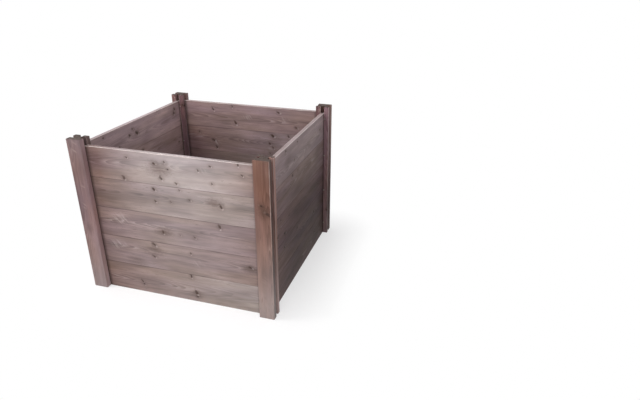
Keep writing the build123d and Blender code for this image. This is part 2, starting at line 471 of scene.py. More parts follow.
def stained_tone(tree, marks, paint, hue_swing):
    # Rings, streaks of stain and fibres add up, from the spring to the summer colour
    for swing, (pattern, least, most) in SWINGS.items():
        limits = {"Value": marks[pattern], **NOISE_SPAN, "To Min": least, "To Max": most}
        marks[swing] = add_node(tree, "ShaderNodeMapRange", limits)
    arches = {0: marks["flat_grain"], 1: ARCH_SHARE, 2: RING_SHARE}
    arches = add_node(tree, "ShaderNodeMath", arches, operation="MULTIPLY_ADD")
    tone = {0: marks["summer_wood"], 1: arches, 2: TONE_START}
    tone = add_node(tree, "ShaderNodeMath", tone, operation="MULTIPLY_ADD")
    for pattern, weight in TONE_WEIGHTS.items():
        tone = {0: marks[pattern], 1: weight, 2: tone}
        tone = add_node(tree, "ShaderNodeMath", tone, operation="MULTIPLY_ADD")
    marks["tone"] = tone
    colour = {"Factor": tone, "A": paint["spring"], "B": paint["summer"]}
    colour = add_node(tree, "ShaderNodeMix", colour, data_type="RGBA")

    # Mauve and beige patches, the plank's own tint, which on some planks also holds painted light and shade,
    # and the grey veil, which is weathering and on the front boards a painted sheen
    mauve, beige = hue_swing
    hue = {"Value": marks["sway"], **HUE_SPAN, "To Min": mauve, "To Max": beige}
    hue = add_node(tree, "ShaderNodeMapRange", hue)
    colour = {"Hue": hue, "Saturation": marks["warmth"], "Value": marks["patch"], "Color": colour}
    colour = add_node(tree, "ShaderNodeHueSaturation", colour)
    colour = add_node(tree, "ShaderNodeVectorMath", {0: colour, 1: marks["tint"]}, operation="MULTIPLY")
    veiled = {0: marks["silver"], 1: marks["grey_patchiness"]}
    veiled = add_node(tree, "ShaderNodeMath", veiled, operation="MULTIPLY", use_clamp=True)
    colour = {"Factor": veiled, "A": colour, "B": paint["silver_grey"]}
    return add_node(tree, "ShaderNodeMix", colour, data_type="RGBA", blend_type="ADD")


print("tone:", ", ".join(TONE_WEIGHTS), "and the rings")

# %% Knots in the stain
HALO_FADE = {"From Min": 0.6, "From Max": 3.6, "To Min": 0.42, "To Max": 0.0}
BRANCH_FADE = {"From Min": 0.95, "From Max": 1.3, "To Min": 0.95, "To Max": 0.0}
BARK_SPAN = {"From Min": 0.6, "From Max": 1.2}
CHEEK_SPAN = {"From Min": 0.7, "From Max": 1.25, "To Max": 0.0}
KNOT_RAGGED, KNOT_RING_TURN, KNOT_RING_SHARE = 1.2, 24.0, 0.18
CRACK_WANDER, CRACK_PLACE, CRACK_HALF = 6.0, 3.0, 0.4
CRACK_REACH, CRACK_FROM_DARK = 0.6, 0.84
CRACK_TESTS = (("shape", "LESS_THAN", CRACK_REACH), ("dark", "GREATER_THAN", CRACK_FROM_DARK))
NO_KNOT = 9.0


def stained_knots(tree, marks, paint, cheek_share):
    # Stain that soaked in round the knots along the grain, then the bark ring and the branch itself
    # with its own rings and a split, all with ragged edges
    found = {"halo": 0.0, "in_knot": 0.0, "cheek": 0.0, "crack": 0.0}
    closest = NO_KNOT
    frayed = {0: marks["burl"], 1: KNOT_RAGGED}
    for knot in marks["knots"]:
        halo = add_node(tree, "ShaderNodeMapRange", {"Value": knot["ratio"], **HALO_FADE})
        halo = add_node(tree, "ShaderNodeMath", {0: halo, 1: knot["soak"]}, operation="MULTIPLY")
        ragged, pressed = (
            add_node(tree, "ShaderNodeMath", {**frayed, 2: edge}, operation="MULTIPLY_ADD")
            for edge in (knot["shape"], knot["cheek"])
        )
        closest = add_node(tree, "ShaderNodeMath", {0: closest, 1: ragged}, operation="MINIMUM")
        branch = add_node(tree, "ShaderNodeMapRange", {"Value": ragged, **BRANCH_FADE})
        branch = add_node(tree, "ShaderNodeMath", {0: branch, 1: knot["branch"]}, operation="MULTIPLY")
        cheek = {"Value": pressed, **CHEEK_SPAN, "To Min": cheek_share}
        cheek = add_node(tree, "ShaderNodeMapRange", cheek)
        crack = {0: marks["burl"], 1: CRACK_WANDER, 2: knot["slant"]}
        crack = add_node(tree, "ShaderNodeMath", crack, operation="MULTIPLY_ADD")
        crack = {0: crack, 1: CRACK_PLACE, 2: CRACK_HALF}
        crack = add_node(tree, "ShaderNodeMath", crack, operation="COMPARE")
        for fact, test, limit in CRACK_TESTS:
            share = add_node(tree, "ShaderNodeMath", {0: knot[fact], 1: limit}, operation=test)
            crack = add_node(tree, "ShaderNodeMath", {0: crack, 1: share}, operation="MULTIPLY")
        for layer, here in {"halo": halo, "in_knot": branch, "cheek": cheek, "crack": crack}.items():
            found[layer] = add_node(tree, "ShaderNodeMath", {0: found[layer], 1: here}, operation="MAXIMUM")
    marks.update(found)

    # What soaked in follows the streaks
    for layer in ("halo", "soaked"):
        share = {0: marks[layer], 1: marks["drawn"]}
        marks[layer] = add_node(tree, "ShaderNodeMath", share, operation="MULTIPLY", use_clamp=True)
    rings = add_node(tree, "ShaderNodeMath", {0: closest, 1: KNOT_RING_TURN}, operation="MULTIPLY")
    rings = add_node(tree, "ShaderNodeMath", {0: rings}, operation="SINE")
    bark = add_node(tree, "ShaderNodeMapRange", {"Value": closest, **BARK_SPAN})
    bark = {0: rings, 1: KNOT_RING_SHARE, 2: bark}
    bark = add_node(tree, "ShaderNodeMath", bark, operation="MULTIPLY_ADD", use_clamp=True)
    branch = {"Factor": bark, "A": paint["knot_heart"], "B": paint["knot_bark"]}
    paint["branch"] = add_node(tree, "ShaderNodeMix", branch, data_type="RGBA")


print("cracks: in knots darker than", CRACK_FROM_DARK)

# %% Splits, edges and ends in the stain
SPLIT_SPAN = {"From Min": 0.64, "From Max": 0.7}
DRY_SPAN = {"From Min": 0.42, "From Max": 0.6, "To Max": 0.45}
EDGE_TONE_FADE = {"From Min": 2.0, "From Max": 4.5, "To Min": 1.0, "To Max": 0.0}
END_FADE = {"From Min": 0.05, "From Max": 0.7, "To Min": 0.92, "To Max": 0.0}
SLOT_FADE, SLOT_SHARE = 20.0, 0.92
EDGE_RAGGED = 3.0
END_FIBRE, END_START, END_RINGS = 0.5, -0.2, 0.8


def stained_edges(tree, marks, paint, slot_depth):
    # Drying splits: short fine openings along the grain, in some places only
    split = add_node(tree, "ShaderNodeMapRange", {"Value": marks["split"], **SPLIT_SPAN})
    dry = add_node(tree, "ShaderNodeMapRange", {"Value": marks["blotch"], **DRY_SPAN})
    marks["splits"] = add_node(tree, "ShaderNodeMath", {0: split, 1: dry}, operation="MULTIPLY")

    # Pale or dark edges: wear and dark joints, with a painted highlight on edges that catch the light and
    # painted shade where a batten meets the boards
    edge = add_node(tree, "ShaderNodeMath", {0: marks["edge_Y"], 1: marks["edge_Z"]}, operation="MAXIMUM")
    edge = {0: marks["ripple"], 1: EDGE_RAGGED, 2: edge}
    edge = add_node(tree, "ShaderNodeMath", edge, operation="MULTIPLY_ADD")
    edge_tone = add_node(tree, "ShaderNodeMapRange", {"Value": edge, **EDGE_TONE_FADE})
    strength = {0: marks["uneven"], 1: marks["rub"]}
    strength = add_node(tree, "ShaderNodeMath", strength, operation="MAXIMUM")
    marks["edge_tone"] = add_node(tree, "ShaderNodeMath", {0: edge_tone, 1: strength}, operation="MULTIPLY")
    arris = {"Factor": marks["rub"], "A": paint["joint_dirt_and_shade"], "B": paint["pale_wear_and_highlight"]}
    paint["arris"] = add_node(tree, "ShaderNodeMix", arris, data_type="RGBA")

    # Sawn ends show fibres and rings. A board is darkened beside a slot, a painted shade where it goes in
    # under the post, and a post is a little darker at its very ends
    marks["at_end"] = add_node(tree, "ShaderNodeMapRange", {"Value": marks["edge_X"], **END_FADE})
    sawn = {0: marks["fibre"], 1: END_FIBRE, 2: END_START}
    sawn = add_node(tree, "ShaderNodeMath", sawn, operation="MULTIPLY_ADD")
    sawn = {0: marks["summer_wood"], 1: END_RINGS, 2: sawn}
    sawn = add_node(tree, "ShaderNodeMath", sawn, operation="MULTIPLY_ADD", use_clamp=True)
    sawn = {"Factor": sawn, "A": paint["end_grain"], "B": paint["end_rings"]}
    paint["sawn_end"] = add_node(tree, "ShaderNodeMix", sawn, data_type="RGBA")
    fade = {"From Min": slot_depth, "From Max": slot_depth + SLOT_FADE, "To Min": SLOT_SHARE, "To Max": 0.0}
    marks["in_slot"] = add_node(tree, "ShaderNodeMapRange", {"Value": marks["edge_X"], **fade})


print("slots darken the last", SLOT_FADE, "mm of a board beside a post")

# %% Stained pine
# Layers of the finish, from the wood up: where each shows, and its colour. The in_slot layer is painted shade
# beside a post
LAYERS = (
    ("fleck", "pale_wear_and_highlight"),
    ("soaked", "halo_stain"),
    ("halo", "halo_stain"),
    ("cheek", "pale_wear_and_highlight"),
    ("scratched", "pale_wear_and_highlight"),
    ("splits", "joint_dirt_and_shade"),
    ("in_knot", "branch"),
    ("crack", "joint_dirt_and_shade"),
    ("in_slot", "joint_dirt_and_shade"),
    ("edge_tone", "arris"),
    ("at_end", "sawn_end"),
)
SATIN_SPAN = {"To Min": 0.7, "To Max": 0.54}
RELIEF = {"fibre": 0.8, "in_knot": 0.7, "splits": -1.5, "crack": -1.5}
RELIEF_DEPTH, RELIEF_STRENGTH = 0.2 * MM, 0.5


def stained_pine(name, colours, hue_swing, cheek_share, slot_depth):
    # Planed pine under a thin stain: a low satin sheen, dull lines of hard summer wood between
    # broad pale bands of spring wood, dark knots, pale edges, worn and painted with a highlight, and thirsty
    # dark ends
    material, tree, shader = new_material(name)
    paint = {part: linear(colour) for part, colour in colours.items()}
    marks = read_marks(tree)
    read_smudge(tree, marks)
    year_rings(tree, marks)
    flat_grain(tree, marks)
    colour = stained_tone(tree, marks, paint, hue_swing)
    stained_knots(tree, marks, paint, cheek_share)
    stained_edges(tree, marks, paint, slot_depth)
    for place, layer in LAYERS:
        colour = {"Factor": marks[place], "A": colour, "B": paint[layer]}
        colour = add_node(tree, "ShaderNodeMix", colour, data_type="RGBA")

    # Satin on the hard lines, duller in the soft wood; the hard lines and the knots stand proud
    roughness = add_node(tree, "ShaderNodeMapRange", {"Value": marks["tone"], **SATIN_SPAN})
    height = marks["summer_wood"]
    for mark, share in RELIEF.items():
        height = {0: marks[mark], 1: share, 2: height}
        height = add_node(tree, "ShaderNodeMath", height, operation="MULTIPLY_ADD")
    relief = {"Height": height, "Strength": RELIEF_STRENGTH, "Distance": RELIEF_DEPTH}
    relief = add_node(tree, "ShaderNodeBump", relief)
    plug(tree, shader, {"Base Color": colour, "Roughness": roughness, "Normal": relief})
    plug(tree, shader, {"IOR": 1.47, "Specular IOR Level": 0.3})
    return material


print("layers of stain and wear:", len(LAYERS))

# %% Two finishes
BOARD_COLOURS = {
    "spring": "#987e78",
    "summer": "#644c45",
    "silver_grey": "#838889",
    "knot_heart": "#54413a",
    "knot_bark": "#3b2c26",
    "halo_stain": "#6d5c57",
    "pale_wear_and_highlight": "#d2c5c1",
    "joint_dirt_and_shade": "#3f302c",
    "end_grain": "#66544e",
    "end_rings": "#3c2e2a",
}
POST_COLOURS = {
    "spring": "#8c6b5f",
    "summer": "#62463c",
    "silver_grey": "#848484",
    "knot_heart": "#452f27",
    "knot_bark": "#2f201b",
    "halo_stain": "#4f382f",
    "pale_wear_and_highlight": "#b9a49c",
    "joint_dirt_and_shade": "#4e3c36",
    "end_grain": "#52423b",
    "end_rings": "#2b201b",
}

# In mm: a board stands this deep in its slot, and a post is a little darker at its very ends
SLOT_DEPTH, DARK_END = 9.5, 6.0
board_pine = stained_pine(
    "stained_pine_boards",
    BOARD_COLOURS,
    hue_swing=(0.487, 0.512),
    cheek_share=0.42,
    slot_depth=SLOT_DEPTH,
)
post_pine = stained_pine(
    "stained_pine_posts",
    POST_COLOURS,
    hue_swing=(0.492, 0.502),
    cheek_share=0.1,
    slot_depth=DARK_END - SLOT_FADE,
)
print("stained pine:", len(board_pine.node_tree.nodes), "nodes in each of two finishes")

# %% [markdown]
# ## Planks by rule
# Boards, battens, cores and strips are all the same thing at different sizes: sawn to a length, a
# thickness and a width, with the arrises eased. One Geometry Nodes tree saws the plank as a box of
# small cells, a Bevel eases its arrises, and a second tree marks on it where it lay in the log,
# where its knots and smudges are and how far the edges are. The knots are points of helper meshes,
# and each cell of the plank looks up the nearest of them, so the distances stay exact inside a cell.
# Knots that lie close together are dealt to different meshes, so that none is cut off by its
# neighbour.

# %% Sawing tree
def geometry_tree(name, inputs):
    tree = bpy.data.node_groups.new(name, "GeometryNodeTree")
    tree.is_modifier = True
    for label, kind in inputs.items():
        tree.interface.new_socket(label, in_out="INPUT", socket_type="NodeSocket" + kind)
    tree.interface.new_socket("Plank", in_out="OUTPUT", socket_type="NodeSocketGeometry")
    return tree, add_node(tree, "NodeGroupInput").outputs


# A row has one point more than it has cells, and one cell more for what is left over
sawing, given = geometry_tree("plank_sawing", {"Size": "Vector", "Cell": "Float"})
cells = add_node(sawing, "ShaderNodeVectorMath", {0: given["Size"], 1: given["Cell"]}, operation="DIVIDE")
cells = add_node(sawing, "ShaderNodeVectorMath", {0: cells, 1: (2.0, 2.0, 2.0)}, operation="ADD")
rows = add_node(sawing, "ShaderNodeSeparateXYZ", {"Vector": cells}).outputs
rows = {f"Vertices {axis}": rows[axis] for axis in "XYZ"}
blank = add_node(sawing, "GeometryNodeMeshCube", {"Size": given["Size"], **rows})
add_node(sawing, "NodeGroupOutput", {0: blank.outputs["Mesh"]})
print("tree:", sawing.name, "with", len(sawing.nodes), "nodes")

# %% Marking tree: place in the log
marking, given = geometry_tree(
    "plank_marking",
    {
        "Plank": "Geometry",
        "Size": "Vector",
        "Heart": "Vector",
        "Lean": "Vector",
        "Growth": "Vector",
        "Grey veil": "Vector",
        "Bleach": "Vector",
        "Tint": "Vector",
        "Edge shade": "Float",
        "Pale edge": "Vector",
        "Wood": "Material",
        **{f"Knots {group}": "Object" for group in range(KNOT_GROUPS)},
        "Smudges": "Object",
    },
)
position = add_node(marking, "GeometryNodeInputPosition")
along, _, across = add_node(marking, "ShaderNodeSeparateXYZ", {"Vector": position}).outputs
leaning = {"Vector": given["Lean"], "Scale": along}
leaning = add_node(marking, "ShaderNodeVectorMath", leaning, operation="SCALE")
in_log = position
for step in (given["Heart"], leaning):
    in_log = add_node(marking, "ShaderNodeVectorMath", {0: in_log, 1: step}, operation="ADD")
in_log = add_node(marking, "ShaderNodeVectorMath", {0: in_log, 1: given["Growth"]}, operation="MULTIPLY")
half = add_node(marking, "ShaderNodeVectorMath", {"Vector": given["Size"], "Scale": 0.5}, operation="SCALE")
absolute = add_node(marking, "ShaderNodeVectorMath", {0: position}, operation="ABSOLUTE")
to_edge = add_node(marking, "ShaderNodeVectorMath", {0: half, 1: absolute}, operation="SUBTRACT")

# From -1 at one side of the plank to 1 at the other, along, through and across it
shares = add_node(marking, "ShaderNodeVectorMath", {0: position, 1: half}, operation="DIVIDE")
shares = add_node(marking, "ShaderNodeSeparateXYZ", {"Vector": shares}).outputs
print("inputs of the marking tree:", ", ".join(socket.name for socket in given if socket.name))

# %% Marking tree: grey veil
# Grey veil: weathering, and on some boards a painted sheen and painted light; given for the low end, the
# middle and the high end, with a smooth curve between
low, middle, high = add_node(marking, "ShaderNodeSeparateXYZ", {"Vector": given["Grey veil"]}).outputs
ends = add_node(marking, "ShaderNodeMath", {0: low, 1: high}, operation="ADD")
bend = add_node(marking, "ShaderNodeMath", {0: ends, 1: 0.5}, operation="MULTIPLY")
bend = add_node(marking, "ShaderNodeMath", {0: bend, 1: middle}, operation="SUBTRACT")
slope = add_node(marking, "ShaderNodeMath", {0: high, 1: low}, operation="SUBTRACT")
slope = add_node(marking, "ShaderNodeMath", {0: slope, 1: 0.5}, operation="MULTIPLY")
silver = bend
for step in (slope, middle):
    silver = {0: silver, 1: shares["X"], 2: step}
    silver = add_node(marking, "ShaderNodeMath", silver, operation="MULTIPLY_ADD")

# Bleaching: more grey on the low and on the high face
low, high, _ = add_node(marking, "ShaderNodeSeparateXYZ", {"Vector": given["Bleach"]}).outputs
share = add_node(marking, "ShaderNodeMapRange", {"Value": shares["Y"], "From Min": -1.0})
bleach = add_node(marking, "ShaderNodeMix", {"Factor": share, "A": low, "B": high}, data_type="FLOAT")
silver = add_node(marking, "ShaderNodeMath", {0: silver, 1: bleach}, operation="ADD")
print("weathering: along the plank, and more on its faces")

# %% Marking tree: edges
EDGE_MARGIN = 0.5 * MM

# How far the lower and the upper edges are made pale: wear, and a painted highlight where an edge catches the
# light
lower, upper, _ = add_node(marking, "ShaderNodeSeparateXYZ", {"Vector": given["Pale edge"]}).outputs
above = add_node(marking, "ShaderNodeMath", {0: across, 1: 0.0}, operation="GREATER_THAN")
rub = add_node(marking, "ShaderNodeMix", {"Factor": above, "A": lower, "B": upper}, data_type="FLOAT")

# The upper edge face, which is the right-hand side face on a post, may be made lighter or darker: painted
# light and shade on that face
inwards = add_node(marking, "ShaderNodeSeparateXYZ", {"Vector": to_edge}).outputs["Z"]
on_edge = add_node(marking, "ShaderNodeMath", {0: inwards, 1: EDGE_MARGIN}, operation="LESS_THAN")
on_edge = add_node(marking, "ShaderNodeMath", {0: on_edge, 1: above}, operation="MULTIPLY")
gain = {0: on_edge, 1: given["Edge shade"], 2: 1.0}
gain = add_node(marking, "ShaderNodeMath", gain, operation="MULTIPLY_ADD")
tint = add_node(marking, "ShaderNodeVectorMath", {"Vector": given["Tint"], "Scale": gain}, operation="SCALE")
print("an edge begins", EDGE_MARGIN / MM, "mm from the side of a plank")

# %% Marking tree: knots and smudges
cell_middle = {"Value": position}
cell_middle = add_node(
    marking, "GeometryNodeFieldOnDomain", cell_middle, data_type="FLOAT_VECTOR", domain="FACE"
)
nature = add_node(marking, "GeometryNodeInputNamedAttribute", {"Name": "nature"}, data_type="FLOAT_VECTOR")
spots = {f"knot_{group}": given[f"Knots {group}"] for group in range(KNOT_GROUPS)}
spots["smudge"] = given["Smudges"]
spot_marks = []
for spot, source in spots.items():
    points = add_node(marking, "GeometryNodeObjectInfo", {"Object": source}).outputs["Geometry"]
    nearest = {"Geometry": points, "Sample Position": cell_middle}
    nearest = add_node(marking, "GeometryNodeSampleNearest", nearest)
    place, facts = (
        add_node(
            marking,
            "GeometryNodeSampleIndex",
            {"Geometry": points, "Value": field, "Index": nearest},
            data_type="FLOAT_VECTOR",
        )
        for field in (position, nature)
    )
    offset = add_node(marking, "ShaderNodeVectorMath", {0: position, 1: place}, operation="SUBTRACT")
    offset = add_node(marking, "ShaderNodeSeparateXYZ", {"Vector": offset}).outputs
    radius, *others = add_node(marking, "ShaderNodeSeparateXYZ", {"Vector": facts}).outputs
    from_spot = add_node(marking, "ShaderNodeCombineXYZ", {0: offset["X"], 1: offset["Z"], 2: radius})
    spot_nature = add_node(marking, "ShaderNodeCombineXYZ", {0: others[0], 1: others[1]})
    spot_marks += [
        (spot, "FLOAT_VECTOR", "CORNER", from_spot),
        (f"{spot}_nature", "FLOAT_VECTOR", "CORNER", spot_nature),
    ]
print("spots looked up in each cell:", ", ".join(spots))

# %% Marking tree: attributes and wood
marked = given["Plank"]
for attribute, kind, domain, value in (
    ("log", "FLOAT_VECTOR", "POINT", in_log),
    ("edge", "FLOAT_VECTOR", "POINT", to_edge),
    ("tint", "FLOAT_VECTOR", "POINT", tint),
    ("rub", "FLOAT", "POINT", rub),
    ("silver", "FLOAT", "POINT", silver),
    *spot_marks,
):
    marked = {"Geometry": marked, "Name": attribute, "Value": value}
    marked = add_node(
        marking, "GeometryNodeStoreNamedAttribute", marked, data_type=kind, domain=domain
    )
plain = add_node(marking, "GeometryNodeRealizeInstances", {"Geometry": marked})
finished = {"Geometry": plain, "Material": given["Wood"]}
finished = add_node(marking, "GeometryNodeSetMaterial", finished)
add_node(marking, "NodeGroupOutput", {0: finished})
print("tree:", marking.name, "with", len(marking.nodes), "nodes")

# %% Knots and smudges as points
FAR_SPOT = (9.0, 9.0, 0.0001, 0.0, 0.0)
TAIL_TURNS = (math.radians(-100), math.radians(-170))
KNOT_DARKNESS = (0.7, 1.0)
EMPTY_ROOM = 1.0
SEED = 14
chance = random.Random(SEED)


def deal(knots):
    # Each knot joins the group that leaves it the most room
    groups = [[] for _ in range(KNOT_GROUPS)]
    for knot in knots:
        rooms = [
            min((math.dist(knot[:2], other[:2]) for other in group), default=EMPTY_ROOM) for group in groups
        ]
        groups[rooms.index(max(rooms))].append(knot)
    return groups


def spot_points(spots):
    # A spot is its place along and across the plank and three facts about it
    spots = spots or [FAR_SPOT]
    points = mesh_object("spots", [(x, 0.0, z) for x, z, *_ in spots])
    nature = points.data.attributes.new("nature", "FLOAT_VECTOR", "POINT")
    nature.data.foreach_set("vector", [fact for _, _, *facts in spots for fact in facts])
    return points


print("knots are between", KNOT_DARKNESS[0], "and", KNOT_DARKNESS[1], "dark")

# %% Making a plank
CELL = 0.010
EASED_SEGMENTS = 3


def set_inputs(modifier, values):
    for item in modifier.node_group.interface.items_tree:
        if item.in_out == "INPUT" and item.name in values:
            modifier[item.identifier] = values[item.name]


def make_plank(name, size, arris, place, cutter, knots, smudges, looks):
    # size is along, through and across; place turns the plank's own axes into the bin's
    turns = [chance.uniform(*TAIL_TURNS) for _ in knots]
    darkness = [chance.uniform(*KNOT_DARKNESS) for _ in knots]
    groups = deal([(*knot, turn, dark) for knot, turn, dark in zip(knots, turns, darkness)])
    spots = {f"Knots {i}": spot_points(group) for i, group in enumerate(groups)}
    spots["Smudges"] = spot_points([(*smudge, 0.0) for smudge in smudges])

    plank = mesh_object(name, [])
    sawn = plank.modifiers.new("sawn", "NODES")
    sawn.node_group = sawing
    set_inputs(sawn, {"Size": size, "Cell": CELL})
    eased = plank.modifiers.new("eased", "BEVEL")
    eased.width = arris
    eased.segments = EASED_SEGMENTS
    eased.limit_method = "ANGLE"
    bored = plank.modifiers.new("bored", "BOOLEAN")
    bored.operation = "DIFFERENCE"
    bored.object = cutter
    bored.solver = "EXACT"
    marked = plank.modifiers.new("marked", "NODES")
    marked.node_group = marking
    set_inputs(marked, {"Size": size, **looks, **spots})

    bpy.context.view_layer.update()
    graph = bpy.context.evaluated_depsgraph_get()
    mesh = bpy.data.meshes.new_from_object(
        plank.evaluated_get(graph), preserve_all_data_layers=True, depsgraph=graph
    )
    plank.modifiers.clear()
    mesh.transform(place)
    mesh.name = name
    plank.data = mesh
    for points in spots.values():
        bpy.data.objects.remove(points)
    return plank


print("planks are sawn in cells of", CELL / MM, "mm")

# %% Choosing a plank
# Least and greatest values. Places in the trunk and radii are in metres
TRUNK_LENGTH, HEART_DEPTH, HEART_ASIDE = (0.0, 40.0), (0.025, 0.06), (-0.03, 0.03)
ASKEW, ASKEW_ASIDE = (0.02, 0.06), (-0.02, 0.02)
CROWDING = (0.75, 1.25)
KNOTS_ALONG, KNOTS_ACROSS, KNOT_RADII = (-0.46, 0.46), (-0.4, 0.4), (0.004, 0.010)


def log_cut():
    # Where in a trunk a plank was sawn: how far along and from the heart, and how much askew
    depth = chance.choice((-1, 1)) * chance.uniform(*HEART_DEPTH)
    askew = chance.choice((-1, 1)) * chance.uniform(*ASKEW)
    crowding = chance.uniform(*CROWDING)
    return {
        "Heart": (chance.uniform(*TRUNK_LENGTH), depth, chance.uniform(*HEART_ASIDE)),
        "Lean": (0.0, askew, chance.uniform(*ASKEW_ASIDE)),
        "Growth": (1.0, crowding, crowding),
    }


def chance_knots(length, height, few, many):
    # Places along and across the plank, as shares of its length and height, and radii
    return [
        (
            chance.uniform(*KNOTS_ALONG) * length,
            chance.uniform(*KNOTS_ACROSS) * height,
            chance.uniform(*KNOT_RADII),
        )
        for _ in range(chance.randint(few, many))
    ]


def stain(level, green, blue):
    # How much of each colour a plank's stain lets through
    return (level, level * green, level * blue)


def stand_in(piece, node, body):
    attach(piece, body)
    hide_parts(node)


print("a plank stands in for one solid, and rides on its body")

# %% [markdown]
# ## Wall boards
# Twenty equal boards lie on edge in four stacks of five. Each is a plank by the rule above. The
# front boards and the inner faces of the rear and the left wall carry the knots and smudges that
# the real bin shows there, and all boards but the front ones get more knots by chance.
# A saw kerf in each end takes the web of an end clip.

# %% Board sizes
BOARDS_PER_WALL = 5
BOARD_LENGTH, BOARD_HEIGHT, BOARD_THICKNESS = 0.869, 0.153, 0.020
BOARD_ARRIS = 0.0016
KERF_DEPTH, KERF_HEIGHT, KERF_WIDTH = 0.0222, 0.0854, 0.0044
SETTLE = 0.0004

# Each wall's direction along and its middle on the ground
walls = {
    "front": ((1, 0, 0), (0, -WALL_Y, 0)),
    "rear": ((1, 0, 0), (0, WALL_Y, 0)),
    "left": ((0, 1, 0), (-WALL_X, 0, 0)),
    "right": ((0, 1, 0), (WALL_X, 0, 0)),
}
print("walls:", ", ".join(walls), "of", BOARDS_PER_WALL * BOARD_HEIGHT, "m height")

# %% Knots and smudges of the boards
# Knots in mm: along the wall from its middle, height above the ground, radius
WALL_KNOTS = {
    "front": [
        (-209, 730, 6), (-66, 716, 8), (-14, 728, 6), (1, 696, 5), (213, 734, 5), (346, 755, 7),
        (151, 707, 6), (363, 709, 6), (215, 651, 5), (-40, 646, 10), (36, 631, 7), (-237, 625, 10),
        (-85, 587, 9), (48, 599, 5), (252, 542, 11), (-85, 527, 7), (95, 557, 6), (-3, 533, 5),
        (236, 439, 11), (-64, 365, 8), (102, 364, 6), (26, 366, 5),
        (-123, 289, 11), (380, 250, 9), (-132, 220, 9), (71, 272, 6),
        (61, 141, 10), (81, 49, 11), (86, 29, 7), (-224, 59, 8), (-216, 44, 7),
    ],
    "rear": [
        (-107, 749, 7), (192, 737, 10), (-89, 649, 12), (151, 591, 12), (129, 539, 9), (151, 516, 8),
        (-243, 527, 11), (-228, 482, 9), (60, 420, 8), (-160, 340, 9), (230, 260, 8),
    ],
    "left": [(-29, 692, 12), (350, 704, 10), (-210, 540, 9), (120, 480, 8), (260, 330, 9), (-120, 300, 8)],
    "right": [],
}

# The fewest and the most further knots on a board of another wall than the front
CHANCE_BOARD_KNOTS = (2, 5)

# Smudges in mm, in the same way, with how deep the stain soaked in; scratches have a negative depth
WALL_SMUDGES = {
    "front": [
        (-48, 694, 58, 0.68), (165, 708, 26, -0.4), (220, 557, 38, 0.8), (-60, 372, 44, 0.7),
        (-299, 406, 46, -0.6), (-128, 256, 48, 0.75), (-332, 262, 40, -0.55), (-240, 178, 48, 0.5),
        (114, 223, 30, -0.35), (379, 238, 40, 0.7), (-237, 622, 34, 0.5), (81, 40, 36, 0.5),
    ],
    "rear": [
        (-7, 695, 30, -0.5), (229, 698, 28, -0.45), (160, 580, 40, 0.5), (-236, 512, 28, -0.5),
        (134, 508, 26, -0.45), (-150, 640, 40, 0.4), (60, 400, 50, 0.4),
    ],
    "left": [(-28, 704, 40, 0.4), (353, 700, 34, 0.4), (120, 560, 45, 0.4), (-250, 640, 34, -0.4)],
    "right": [
        (-180, 690, 45, 0.45), (130, 560, 50, 0.4), (250, 700, 36, -0.4), (-60, 330, 50, 0.4),
        (190, 200, 45, 0.4),
    ],
}


def on_course(spots, board_z):
    # The spots that lie on one board, in metres from its middle
    return [
        (x * MM, z * MM - board_z, radius * MM, *facts)
        for x, z, radius, *facts in spots
        if abs(z * MM - board_z) < BOARD_HEIGHT / 2
    ]


print("knots placed by hand:", sum(len(knots) for knots in WALL_KNOTS.values()))

# %% Stain and painted light of the boards
# How strong the stain is on each board, from the ground up. The levels also hold painted light and shade: the
# left wall's boards grow lighter towards the top, where more light falls in, and the rear wall's top two
# boards are lighter
WALL_STAIN_AND_LIGHT = {
    "front": (1.08, 0.97, 0.9, 0.85, 0.92),
    "rear": (0.9, 0.88, 0.88, 1.08, 1.06),
    "left": (0.95, 1.02, 1.18, 1.28, 1.36),
    "right": (0.9, 1.0, 0.92, 0.98, 1.0),
}

# Green and blue against red, and how far they differ from board to board
WALL_HUES = {"front": (1.02, 1.02), "rear": (1.0, 1.06), "left": (0.98, 1.08), "right": (1.0, 1.05)}
HUE_SPREAD = 0.03

# How much lighter or darker the upper edge face of each wall's boards is made: painted light and shade on
# that face
WALL_EDGE_SHADES = {"front": 0.0, "rear": 0.0, "left": -0.3, "right": -0.1}

# Grey veil at the low end, the middle and the high end of each board, from the ground up. On the front boards
# it is a painted sheen, the grey of reflected light, none at the left end and most in the middle; on the top
# two boards of the right wall it is painted light
MILD, DEEP = (0.05, 0.15, 0.1), (-0.05, 0.25, 0.4)
WALL_GREY_VEIL = {
    "front": (
        (-0.02, 0.44, 0.78), (0.05, 0.4, 0.18), (0.0, 0.44, 0.16), (-0.12, 0.57, 0.38), (-0.3, 0.88, 0.2),
    ),
    "rear": (DEEP, DEEP, DEEP, DEEP, MILD),
    "left": (MILD, MILD, MILD, MILD, (0.25, 0.3, 0.2)),
    "right": (MILD, MILD, MILD, (0.1, 0.25, 0.15), (0.35, 0.45, 0.35)),
}

# More grey on each face; the high face of the rear and left boards is the outer one
NO_BLEACH = (0.0, 0.0, 0.0)
WALL_BLEACH = {"front": NO_BLEACH, "rear": (0.0, 0.35, 0.0), "left": (0.15, 0.35, 0.0), "right": NO_BLEACH}
print("stain of the top boards:", {wall: tints[-1] for wall, tints in WALL_STAIN_AND_LIGHT.items()})

